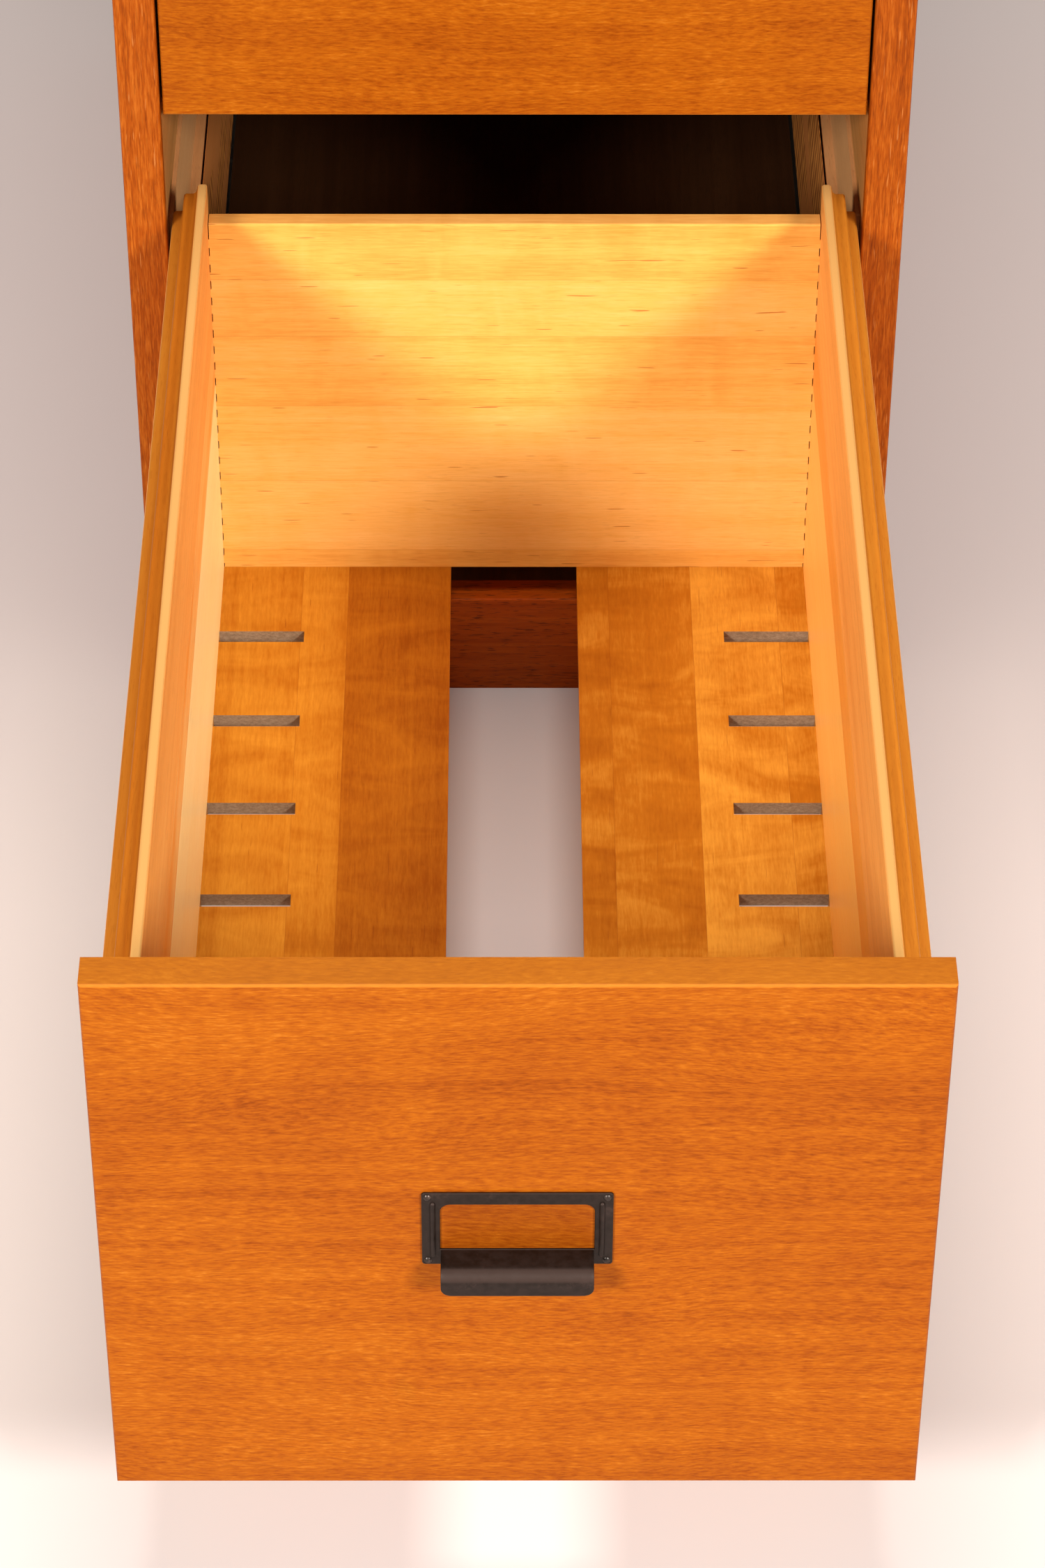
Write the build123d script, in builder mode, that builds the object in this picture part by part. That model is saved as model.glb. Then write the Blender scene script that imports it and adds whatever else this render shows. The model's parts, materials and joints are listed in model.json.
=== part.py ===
"""Oak filing cabinet with two deep drawers on full-extension telescopic slides.

The lower drawer is modelled pulled out, the upper one closed. Millimetres. X runs across the
cabinet, +Y from its front to its back and +Z up. The origin is on the floor, under the middle
of the cabinet, at half the thickness of the front plinth rail.
"""

import os

from build123d import *

# ---- driving dimensions: carcass
WIDTH = 425.0            # outside width
DEPTH = 720.0            # front edge to back panel
HEIGHT = 750.0
WALL = 22.0              # side panel and front lipping thickness
LIPPING = 5.0            # depth of the solid strip on each side panel's front edge
STRIP_PROUD = 2.0        # the strips stand this far in front of the closed drawer fronts
TOP_THICK = 26.0
PLINTH_HEIGHT = 67.0
PLINTH_THICK = 18.0
BOTTOM_THICK = 16.0
BOTTOM_TOP = 65.0        # height of the bottom panel's upper face
BACK_THICK = 8.0
EASED = 1.2              # small rounding on the exposed wooden edges
TOP_EASED = 3.0
FRONT_EASED = 1.5

# ---- driving dimensions: drawers
DRAWER_BASES = {"lower": 73.0, "upper": 399.0}   # height of each drawer front's bottom edge
FRONT_WIDTH = 378.0
FRONT_HEIGHT = 322.0
FRONT_THICK = 18.0
TRAVEL = 678.0           # full extension
OPEN_BY = {"lower": TRAVEL, "upper": 0.0}

# The box behind a drawer front. Heights are above the front's bottom edge, and lengths are
# measured back from the front's outer face.
BOX_INNER = 168.5        # half of the clear width inside
BOX_END = 695.0          # rear end of the sides
SIDE_THICK = 10.5
SIDE_BOTTOM = 2.0
RAIL_BOTTOM = 180.0      # joint between the side board and the moulded rail above it
RAIL_TOP = 270.6
RAIL_OUTER = 188.0       # half width over the moulded rails
MID_TREAD_DROP = 5.9
OUTER_TREAD_DROP = 17.3
FLOOR_TOP = 13.5
FLOOR_THICK = 8.0
FLOOR_GAP = 73.0         # open strip between the two bottom boards
GROOVE_DEPTH = 4.0
FRONT_GROOVE = 5.0
REAR_START = 684.0       # front face of the rear panel
REAR_THICK = 11.0
REAR_TOP = 252.0
SHOULDER_GAP = 0.5       # open joint between the rear panel's shoulders and the sides
FINGER_PITCH = 11.0
FINGER_COUNT = 21
SLOT_COUNT = 4
SLOT_PITCH = 74.8
SLOT_FIRST = 64.7        # first slot's middle, forward of the rear panel
SLOT_WIDTH = 9.6
SLOT_REACH = 120.0       # the slots run from the side in to this half width

# ---- driving dimensions: slides, guides and pull
GUIDE_THICK = 9.5
FLANGE_THICK = 2.2       # thin upstand of the guide, beside the moulded rail
FLANGE_TOP = 248.0
KERF = (7.8, 9.0)        # saw kerf along the guide's top, measured from the side panel
KERF_DEPTH = 10.0
GUIDE_CLEAR = 1.0        # between the moulded rail and the guide below it
SLIDE_CLEAR = 2.0        # between the slide and the guide above it
SLIDE_SETBACK = 3.0      # the slides start this far behind the drawer front
SLIDE_LENGTH = 672.0
SLIDE_HEIGHT = 36.0
SLIDE_BASE = 5.0         # lower edge of the outer member, above the front's bottom edge
SHEET = 1.2              # steel thickness of the slides and of the pull
PULL_WIDTH = 86.0
PULL_BOTTOM = 150.5
PULL_TOP = 196.0
LIP_WIDTH = 69.0
LIP_REACH = 17.5
LIP_TOP = 160.0
LIP_BOTTOM = 146.7
LIP_CORNER = 4.6
BEND_RADIUS = 6.5        # outside of the lip's bend
WINDOW_HALF = 34.7       # half width of the frame's window
WINDOW_TOP = 188.8
WINDOW_CORNER = 4.5
FRAME_CORNER = 1.5
RIB = (37.0, 39.2)       # half widths of the raised rib on each upright of the frame
RIB_DEPTH = 2.6
RIB_INSET = 5.0

# ---- derived
FRONT_Y = -PLINTH_THICK / 2              # plane of the closed drawer fronts
BACK_Y = FRONT_Y + DEPTH
BACK_INNER_Y = BACK_Y - BACK_THICK
INNER = WIDTH / 2 - WALL                 # half of the opening
CEILING = HEIGHT - TOP_THICK
SIDE_OUTER = BOX_INNER + SIDE_THICK
GUIDE_TOP = RAIL_BOTTOM - GUIDE_CLEAR
GUIDE_BOTTOM = SLIDE_BASE + SLIDE_HEIGHT + SLIDE_CLEAR
SLIDE_Y = FRONT_Y + FRONT_THICK + SLIDE_SETBACK    # front end of the outer members

LEFT, RIGHT = -1, 1
SIDES = {"left": LEFT, "right": RIGHT}

os.makedirs("parts", exist_ok=True)


def save(builder, name):
    """Label a finished piece and write it out as one node."""
    builder.part.label = name
    export_step(builder.part, f"parts/{name}.step")


def block(x, y, z, mode=Mode.ADD):
    """A plain block between pairs of limits, in either order, added to the current part."""
    x, y, z = sorted(x), sorted(y), sorted(z)
    with BuildSketch(Plane.XY.offset(z[0])) as outline:
        with Locations(((x[0] + x[1]) / 2, (y[0] + y[1]) / 2)):
            Rectangle(x[1] - x[0], y[1] - y[0])
    extrude(outline.sketch, amount=z[1] - z[0], mode=mode)


def ease(edges, radius=EASED):
    """Round the exposed edges a little, as sanding leaves them."""
    fillet(edges, radius=radius)


def rods(centres, radius, start, length, mode=Mode.ADD):
    """Rods along +Y from the plane Y = start, at (x, z) centres."""
    with BuildSketch(Plane.XZ.offset(-start)) as circles:
        with Locations(*centres):
            Circle(radius)
    extrude(circles.sketch, amount=-length, mode=mode)


def side_rods(sign, centres, radius, start, length, mode=Mode.ADD):
    """Rods that run outwards along X from half width start, at (y, z) centres."""
    with BuildSketch(Plane.YZ.offset(sign * start)) as circles:
        with Locations(*centres):
            Circle(radius)
    extrude(circles.sketch, amount=sign * length, mode=mode)


# ---- carcass

SCREW_RADIUS = 1.6
SCREW_SHARES = (0.06, 0.5, 0.94)     # places along a slide member
SCREW_LENGTH = 12.0
SCREW_HEAD_RADIUS = 3.2
SCREW_HEAD = 1.0
OUTER_WEB = 1.5          # web of the slide's outer member, against the side panel


def slide_screw_centres(start, base):
    """Screw positions (y, z) along one slide member that starts at Y = start."""
    middle = base + SLIDE_BASE + SLIDE_HEIGHT / 2
    return [(start + share * SLIDE_LENGTH, middle) for share in SCREW_SHARES]


def side_panel(sign):
    """Side panel, drilled for the slide screws."""
    with BuildPart() as panel:
        block((sign * INNER, sign * WIDTH / 2), (FRONT_Y + LIPPING, BACK_Y), (0, CEILING))
        for base in DRAWER_BASES.values():
            centres = slide_screw_centres(SLIDE_Y, base)
            side_rods(sign, centres, SCREW_RADIUS, INNER, SCREW_LENGTH - OUTER_WEB, Mode.SUBTRACT)
    return panel


def edge_strip(sign):
    """Solid strip on the front edge of a side panel."""
    with BuildPart() as strip:
        block((sign * INNER, sign * WIDTH / 2), (FRONT_Y - STRIP_PROUD, FRONT_Y + LIPPING), (0, CEILING))
        ease(strip.faces().sort_by(Axis.Y)[0].edges().filter_by(Axis.Z))
    return strip


for side_name, sign in SIDES.items():
    save(side_panel(sign), f"side_panel_{side_name}")
    save(edge_strip(sign), f"edge_strip_{side_name}")

with BuildPart() as top_panel:
    block((-WIDTH / 2, WIDTH / 2), (FRONT_Y - STRIP_PROUD, BACK_Y), (CEILING, HEIGHT))
    ease(top_panel.faces().sort_by(Axis.Z)[-1].edges(), TOP_EASED)
save(top_panel, "top_panel")

with BuildPart() as bottom_panel:
    block((-INNER, INNER), (FRONT_Y + PLINTH_THICK, BACK_INNER_Y),
          (BOTTOM_TOP - BOTTOM_THICK, BOTTOM_TOP))
save(bottom_panel, "bottom_panel")

with BuildPart() as plinth_front:
    block((-INNER, INNER), (FRONT_Y, FRONT_Y + PLINTH_THICK), (0, PLINTH_HEIGHT))
    ease(plinth_front.faces().sort_by(Axis.Z)[-1].edges().sort_by(Axis.Y)[:1])
save(plinth_front, "plinth_front")

with BuildPart() as plinth_back:
    block((-INNER, INNER), (BACK_INNER_Y - PLINTH_THICK, BACK_INNER_Y),
          (0, BOTTOM_TOP - BOTTOM_THICK))
save(plinth_back, "plinth_back")

with BuildPart() as back_panel:
    block((-INNER, INNER), (BACK_INNER_Y, BACK_Y), (0, CEILING))
save(back_panel, "back_panel")


def guide(sign, base):
    """Wooden guide board on the inside of a side panel, with a thin upstand and a kerf on top."""
    low, high = base + GUIDE_BOTTOM, base + GUIDE_TOP
    length = (SLIDE_Y, SLIDE_Y + SLIDE_LENGTH)
    with BuildPart() as board:
        block((sign * (INNER - GUIDE_THICK), sign * INNER), length, (low, high))
        block((sign * (INNER - FLANGE_THICK), sign * INNER), length, (high, base + FLANGE_TOP))
        block((sign * (INNER - KERF[0]), sign * (INNER - KERF[1])), length,
              (high - KERF_DEPTH, high), Mode.SUBTRACT)
    return board


for side_name, sign in SIDES.items():
    for drawer_name, base in DRAWER_BASES.items():
        save(guide(sign, base), f"{drawer_name}_guide_{side_name}")


# ---- telescopic slides: three nested channels on each side of each drawer

MIDDLE_INSET = 2.6       # the middle channel inside the outer one, top and bottom
INNER_INSET = 5.0        # the inner channel inside the outer one, top and bottom
MIDDLE_WEB = 187.8       # outer face of the middle channel's web
MIDDLE_LIP = 181.2       # how far in its flanges reach
OUTER_LIP = 183.0
INNER_LIP = 186.0        # how far out the inner channel's flanges reach


def channel(sign, web_face, web, lip, low, high, start):
    """A channel along Y. Its web starts at half width web_face, and its flanges end at lip."""
    inwards = 1 if lip > web_face else -1
    with BuildPart() as member:
        with BuildSketch(Plane.XZ.offset(-start)):
            with BuildLine():
                Polyline(
                    (sign * web_face, low),
                    (sign * lip, low),
                    (sign * lip, low + SHEET),
                    (sign * (web_face + inwards * web), low + SHEET),
                    (sign * (web_face + inwards * web), high - SHEET),
                    (sign * lip, high - SHEET),
                    (sign * lip, high),
                    (sign * web_face, high),
                    close=True,
                )
            make_face()
        extrude(amount=-SLIDE_LENGTH)
    return member


def screws(sign, head_inner, head_length, shank_length, centres):
    """Round-headed screws that point outwards from half width head_inner, or inwards if negative."""
    outwards = 1 if shank_length > 0 else -1
    with BuildPart() as group:
        side_rods(sign, centres, SCREW_HEAD_RADIUS, head_inner, outwards * head_length)
        side_rods(sign, centres, SCREW_RADIUS, head_inner + outwards * head_length, shank_length)
    return group


def joined(builders):
    """Several separate solids as one part, outside any builder."""
    return Compound(children=[builder.part for builder in builders])


for drawer_name, base in DRAWER_BASES.items():
    low = base + SLIDE_BASE
    high = low + SLIDE_HEIGHT
    reach = OPEN_BY[drawer_name]
    for side_name, sign in SIDES.items():
        centres = slide_screw_centres(SLIDE_Y, base)
        outer = channel(sign, INNER, OUTER_WEB, OUTER_LIP, low, high, SLIDE_Y)
        with outer:
            side_rods(sign, centres, SCREW_RADIUS, INNER - OUTER_WEB, OUTER_WEB, Mode.SUBTRACT)
        save(outer, f"{drawer_name}_slide_outer_{side_name}")

        middle = channel(sign, MIDDLE_WEB, SHEET, MIDDLE_LIP,
                         low + MIDDLE_INSET, high - MIDDLE_INSET, SLIDE_Y - reach / 2)
        save(middle, f"{drawer_name}_slide_middle_{side_name}")

        start = SLIDE_Y - reach
        inner = channel(sign, SIDE_OUTER, SHEET, INNER_LIP,
                        low + INNER_INSET, high - INNER_INSET, start)
        with inner:
            centres = slide_screw_centres(start, base)
            side_rods(sign, centres, SCREW_RADIUS, SIDE_OUTER, SHEET, Mode.SUBTRACT)
        save(inner, f"{drawer_name}_slide_inner_{side_name}")

carcass_screws = joined([
    screws(sign, INNER - OUTER_WEB - SCREW_HEAD, SCREW_HEAD, SCREW_LENGTH,
           slide_screw_centres(SLIDE_Y, base))
    for sign in SIDES.values() for base in DRAWER_BASES.values()
])
carcass_screws.label = "carcass_slide_screws"
export_step(carcass_screws, "parts/carcass_slide_screws.step")


# ---- drawers

DOWEL_RADIUS = 3.0
DOWEL_HEIGHTS = (45.0, 150.0, 225.0)
DOWEL_IN_FRONT = 11.0
DOWEL_LENGTH = 36.0
BOX_SCREW_DEPTH = 7.0    # how far the inner member's screws go into the side board
PIN_RADIUS = 1.5
PIN_LENGTH = 10.0
PIN_HEAD = 0.7
PIN_HEAD_RADIUS = 2.1
PIN_INSET = 2.7          # from the edges of the pull's frame


def dowel_centres(base):
    """(x, z) of the dowels that join a drawer front to its sides and moulded rails."""
    return [
        (sign * (BOX_INNER + SIDE_THICK / 2), base + height)
        for sign in SIDES.values() for height in DOWEL_HEIGHTS
    ]


def pull_pin_centres(base):
    """(x, z) of the four pins at the corners of the pull's frame."""
    reach = PULL_WIDTH / 2 - PIN_INSET
    return [
        (sign * reach, base + height)
        for sign in SIDES.values() for height in (PULL_BOTTOM + PIN_INSET, PULL_TOP - PIN_INSET)
    ]


def drawer_front(face, base):
    """Veneered front, grooved and drilled behind for the box, and drilled for the pull."""
    back = face + FRONT_THICK
    with BuildPart() as front:
        block((-FRONT_WIDTH / 2, FRONT_WIDTH / 2), (face, back), (base, base + FRONT_HEIGHT))
        ease(front.faces().sort_by(Axis.Y)[0].edges(), FRONT_EASED)
        for sign in SIDES.values():
            block((sign * FLOOR_GAP / 2, sign * (BOX_INNER + GROOVE_DEPTH)), (back - FRONT_GROOVE, back),
                  (base + FLOOR_TOP - FLOOR_THICK, base + FLOOR_TOP), Mode.SUBTRACT)
        rods(dowel_centres(base), DOWEL_RADIUS, back - DOWEL_IN_FRONT, DOWEL_IN_FRONT, Mode.SUBTRACT)
        rods(pull_pin_centres(base), PIN_RADIUS, face, PIN_LENGTH - SHEET, Mode.SUBTRACT)
    return front


def cut_finger_sockets(sign, face, base):
    """Sockets in a side for the rear panel's fingers."""
    for index in range(FINGER_COUNT):
        low = base + FLOOR_TOP + FINGER_PITCH * (index + 0.25)
        block((sign * BOX_INNER, sign * SIDE_OUTER),
              (face + REAR_START, face + REAR_START + REAR_THICK),
              (low, low + FINGER_PITCH / 2), Mode.SUBTRACT)


RIDGE_WIDTH = 4.8
MID_TREAD_REACH = 13.0   # outer edge of the middle tread, from the inner face
TONGUE = (BOX_INNER + 3.0, BOX_INNER + 7.0)     # half widths of the joint's tongue
TONGUE_HEIGHT = 6.0


def drawer_side(sign, face, base):
    """Side board below the moulded rail, grooved for the bottom board."""
    start, end = face + FRONT_THICK, face + BOX_END
    with BuildPart() as side:
        block((sign * BOX_INNER, sign * SIDE_OUTER), (start, end),
              (base + SIDE_BOTTOM, base + RAIL_BOTTOM))
        block((sign * TONGUE[0], sign * TONGUE[1]), (start, end),
              (base + RAIL_BOTTOM, base + RAIL_BOTTOM + TONGUE_HEIGHT))
        block((sign * BOX_INNER, sign * (BOX_INNER + GROOVE_DEPTH)),
              (start, face + REAR_START + REAR_THICK),
              (base + FLOOR_TOP - FLOOR_THICK, base + FLOOR_TOP), Mode.SUBTRACT)
        cut_finger_sockets(sign, face, base)
        rods(dowel_centres(base), DOWEL_RADIUS, start, DOWEL_LENGTH - DOWEL_IN_FRONT, Mode.SUBTRACT)
        centres = slide_screw_centres(face + FRONT_THICK + SLIDE_SETBACK, base)
        side_rods(sign, centres, SCREW_RADIUS, SIDE_OUTER - BOX_SCREW_DEPTH, BOX_SCREW_DEPTH,
                  Mode.SUBTRACT)
    return side


def moulded_rail(sign, face, base):
    """Top rail of a drawer side: a narrow ridge inside and two treads stepping down outside."""
    start = face + FRONT_THICK
    top = base + RAIL_TOP
    mid_tread, outer_tread = top - MID_TREAD_DROP, top - OUTER_TREAD_DROP
    low = base + RAIL_BOTTOM
    ridge, step = BOX_INNER + RIDGE_WIDTH, BOX_INNER + MID_TREAD_REACH
    corners = {
        "ridge_inner": (BOX_INNER, top, 1.3),
        "ridge_outer": (ridge, top, 1.8),
        "ridge_foot": (ridge + 1.6, mid_tread, 2.4),
        "mid_edge": (step, mid_tread, 1.8),
        "mid_foot": (step, outer_tread, 2.0),
        "outer_edge": (RAIL_OUTER, outer_tread, 2.2),
    }
    with BuildPart() as rail:
        with BuildSketch(Plane.XZ.offset(-start)) as profile:
            with BuildLine():
                outline = [(sign * x, z) for x, z, radius in corners.values()]
                outline += [
                    (sign * RAIL_OUTER, low),
                    (sign * TONGUE[1], low),
                    (sign * TONGUE[1], low + TONGUE_HEIGHT),
                    (sign * TONGUE[0], low + TONGUE_HEIGHT),
                    (sign * TONGUE[0], low),
                    (sign * BOX_INNER, low),
                ]
                Polyline(*outline, close=True)
            make_face()
            for x, z, radius in corners.values():
                fillet(profile.vertices().sort_by_distance((sign * x, z))[0], radius)
        extrude(amount=-(BOX_END - FRONT_THICK))
        cut_finger_sockets(sign, face, base)
        rods(dowel_centres(base), DOWEL_RADIUS, start, DOWEL_LENGTH - DOWEL_IN_FRONT, Mode.SUBTRACT)
    return rail


def rear_panel(face, base):
    """Rear panel with its row of fingers at each end. It stands on the bottom boards."""
    start, end = face + REAR_START, face + REAR_START + REAR_THICK
    with BuildPart() as panel:
        shoulder = BOX_INNER - SHOULDER_GAP
        block((-shoulder, shoulder), (start, end), (base + FLOOR_TOP, base + REAR_TOP))
        ease(panel.faces().sort_by(Axis.Z)[-1].edges().filter_by(Axis.X))
        for sign in SIDES.values():
            for index in range(FINGER_COUNT):
                low = base + FLOOR_TOP + FINGER_PITCH * (index + 0.25)
                block((sign * shoulder, sign * SIDE_OUTER), (start, end),
                      (low, low + FINGER_PITCH / 2))
    return panel


def bottom_board(sign, face, base):
    """One of the two bottom boards, with slots for divider plates along its outer edge."""
    start, end = face + FRONT_THICK - FRONT_GROOVE, face + REAR_START + REAR_THICK
    height = (base + FLOOR_TOP - FLOOR_THICK, base + FLOOR_TOP)
    with BuildPart() as board:
        block((sign * FLOOR_GAP / 2, sign * (BOX_INNER + GROOVE_DEPTH)), (start, end), height)
        for index in range(SLOT_COUNT):
            middle = face + REAR_START - SLOT_FIRST - SLOT_PITCH * index
            block((sign * SLOT_REACH, sign * BOX_INNER),
                  (middle - SLOT_WIDTH / 2, middle + SLOT_WIDTH / 2), height, Mode.SUBTRACT)
    return board


def pull(face, base):
    """Sheet-metal label frame with a bent finger lip across its lower half."""
    frame_low, top, window_top = base + PULL_BOTTOM, base + PULL_TOP, base + WINDOW_TOP
    lip_top, lip_low = base + LIP_TOP, base + LIP_BOTTOM
    with BuildPart() as handle:
        with BuildSketch(Plane.XZ.offset(-face)) as frame:
            with Locations((0, (frame_low + top) / 2)):
                RectangleRounded(PULL_WIDTH, top - frame_low, FRAME_CORNER)
            with Locations((0, (frame_low + window_top) / 2)):
                Rectangle(2 * WINDOW_HALF, window_top - frame_low, mode=Mode.SUBTRACT)
            for sign in SIDES.values():
                corner = (sign * WINDOW_HALF, window_top)
                fillet(frame.vertices().sort_by_distance(corner)[0], WINDOW_CORNER)
        extrude(amount=SHEET)
        block((-WINDOW_HALF, WINDOW_HALF), (face - SHEET, face), (frame_low, lip_top))
        for sign in SIDES.values():
            block((sign * RIB[0], sign * RIB[1]), (face - SHEET, face - RIB_DEPTH),
                  (frame_low + RIB_INSET, top - RIB_INSET))
        with BuildSketch(Plane.YZ.offset(-LIP_WIDTH / 2)) as bend:
            with BuildLine():
                Polyline(
                    (face - SHEET / 2, lip_top),
                    (face - LIP_REACH, lip_top),
                    (face - LIP_REACH, lip_low),
                    (face - LIP_REACH + SHEET, lip_low),
                    (face - LIP_REACH + SHEET, lip_top - SHEET),
                    (face - SHEET / 2, lip_top - SHEET),
                    close=True,
                )
            make_face()
            outer_corner = (face - LIP_REACH, lip_top)
            inner_corner = (face - LIP_REACH + SHEET, lip_top - SHEET)
            fillet(bend.vertices().sort_by_distance(outer_corner)[0], BEND_RADIUS)
            fillet(bend.vertices().sort_by_distance(inner_corner)[0], BEND_RADIUS - SHEET)
        extrude(amount=LIP_WIDTH)
        fillet(handle.faces().sort_by(Axis.Z)[0].edges().filter_by(Axis.Y), LIP_CORNER)
        rods(pull_pin_centres(base), PIN_RADIUS, face - SHEET, SHEET, Mode.SUBTRACT)
    return handle


def pull_pins(face, base):
    """The four round-headed pins of the pull."""
    with BuildPart() as pins:
        rods(pull_pin_centres(base), PIN_RADIUS, face - SHEET, PIN_LENGTH)
        rods(pull_pin_centres(base), PIN_HEAD_RADIUS, face - SHEET - PIN_HEAD, PIN_HEAD)
    return pins


def front_dowels(face, base):
    """Wooden dowels between the front and the sides, each a separate solid."""
    start = face + FRONT_THICK - DOWEL_IN_FRONT
    with BuildPart() as dowels:
        rods(dowel_centres(base), DOWEL_RADIUS, start, DOWEL_LENGTH)
    return dowels


for drawer_name, base in DRAWER_BASES.items():
    face = FRONT_Y - OPEN_BY[drawer_name]
    save(drawer_front(face, base), f"{drawer_name}_front")
    save(rear_panel(face, base), f"{drawer_name}_rear_panel")
    save(pull(face, base), f"{drawer_name}_pull")
    save(pull_pins(face, base), f"{drawer_name}_pull_pins")
    save(front_dowels(face, base), f"{drawer_name}_front_dowels")
    for side_name, sign in SIDES.items():
        save(drawer_side(sign, face, base), f"{drawer_name}_side_{side_name}")
        save(moulded_rail(sign, face, base), f"{drawer_name}_rail_{side_name}")
        save(bottom_board(sign, face, base), f"{drawer_name}_bottom_{side_name}")
    box_screws = joined([
        screws(sign, SIDE_OUTER + SHEET + SCREW_HEAD, SCREW_HEAD, -(SHEET + BOX_SCREW_DEPTH),
               slide_screw_centres(face + FRONT_THICK + SLIDE_SETBACK, base))
        for sign in SIDES.values()
    ])
    box_screws.label = f"{drawer_name}_slide_screws"
    export_step(box_screws, f"parts/{drawer_name}_slide_screws.step")
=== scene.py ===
"""Looks for the oak filing cabinet: woods, formed pulls, nails, floor, light and camera around the CAD frame.

Everything is in metres, except that the places of glued joints and the heights above a drawer
front's bottom edge are in millimetres.
"""

import json
import math

import bmesh
import bpy
from mathutils import Matrix, Vector


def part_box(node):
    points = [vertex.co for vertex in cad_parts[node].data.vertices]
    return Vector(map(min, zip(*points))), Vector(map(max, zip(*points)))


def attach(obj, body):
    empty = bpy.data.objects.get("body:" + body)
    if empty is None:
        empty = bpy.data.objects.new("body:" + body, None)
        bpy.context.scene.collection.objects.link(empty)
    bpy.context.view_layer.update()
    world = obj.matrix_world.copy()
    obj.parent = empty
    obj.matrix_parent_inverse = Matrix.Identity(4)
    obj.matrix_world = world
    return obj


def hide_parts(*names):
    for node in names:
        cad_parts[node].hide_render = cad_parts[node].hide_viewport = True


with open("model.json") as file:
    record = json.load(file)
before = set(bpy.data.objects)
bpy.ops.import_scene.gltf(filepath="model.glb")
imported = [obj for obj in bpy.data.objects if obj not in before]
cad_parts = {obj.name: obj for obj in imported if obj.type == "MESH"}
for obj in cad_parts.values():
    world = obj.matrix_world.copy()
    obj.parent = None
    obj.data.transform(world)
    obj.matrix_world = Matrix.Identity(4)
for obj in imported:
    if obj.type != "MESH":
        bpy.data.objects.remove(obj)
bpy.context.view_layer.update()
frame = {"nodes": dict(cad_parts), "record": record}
MM = 0.001
DRAWERS = ("lower", "upper")
SIDES = {"left": -1, "right": 1}
AXES = {"x": 0, "y": 1, "z": 2}

# Sizes of the formed pulls, which the wood behind them follows too.
SHEET = 1.2 * MM
SHEET_EDGE = 0.3 * MM          # rounding of the frame's arrises
FRAME_HEIGHT = 45.5 * MM
FRAME_CORNER = 1.5 * MM
WINDOW_HALF = 34.7 * MM
WINDOW_DROP = 7.2 * MM         # from the frame's top to its window
WINDOW_CORNER = 4.5 * MM
WINDOW_LOW_CORNER = 0.4 * MM
LIP_HALF = 34.5 * MM
LIP_DROP = 36.0 * MM           # from the frame's top to the lip's top
LIP_BEND = 6.5 * MM
LIP_CORNER = 4.6 * MM
BEAD_X = 38.0 * MM
BEAD_RADIUS = 1.25 * MM
BEAD_INSET = 5.5 * MM          # from the frame's top and bottom to a bead's ends


# ---- material graphs

MIX_A, MIX_B, MIX_RESULT = 6, 7, 2     # a Mix node's colour sockets


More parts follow.
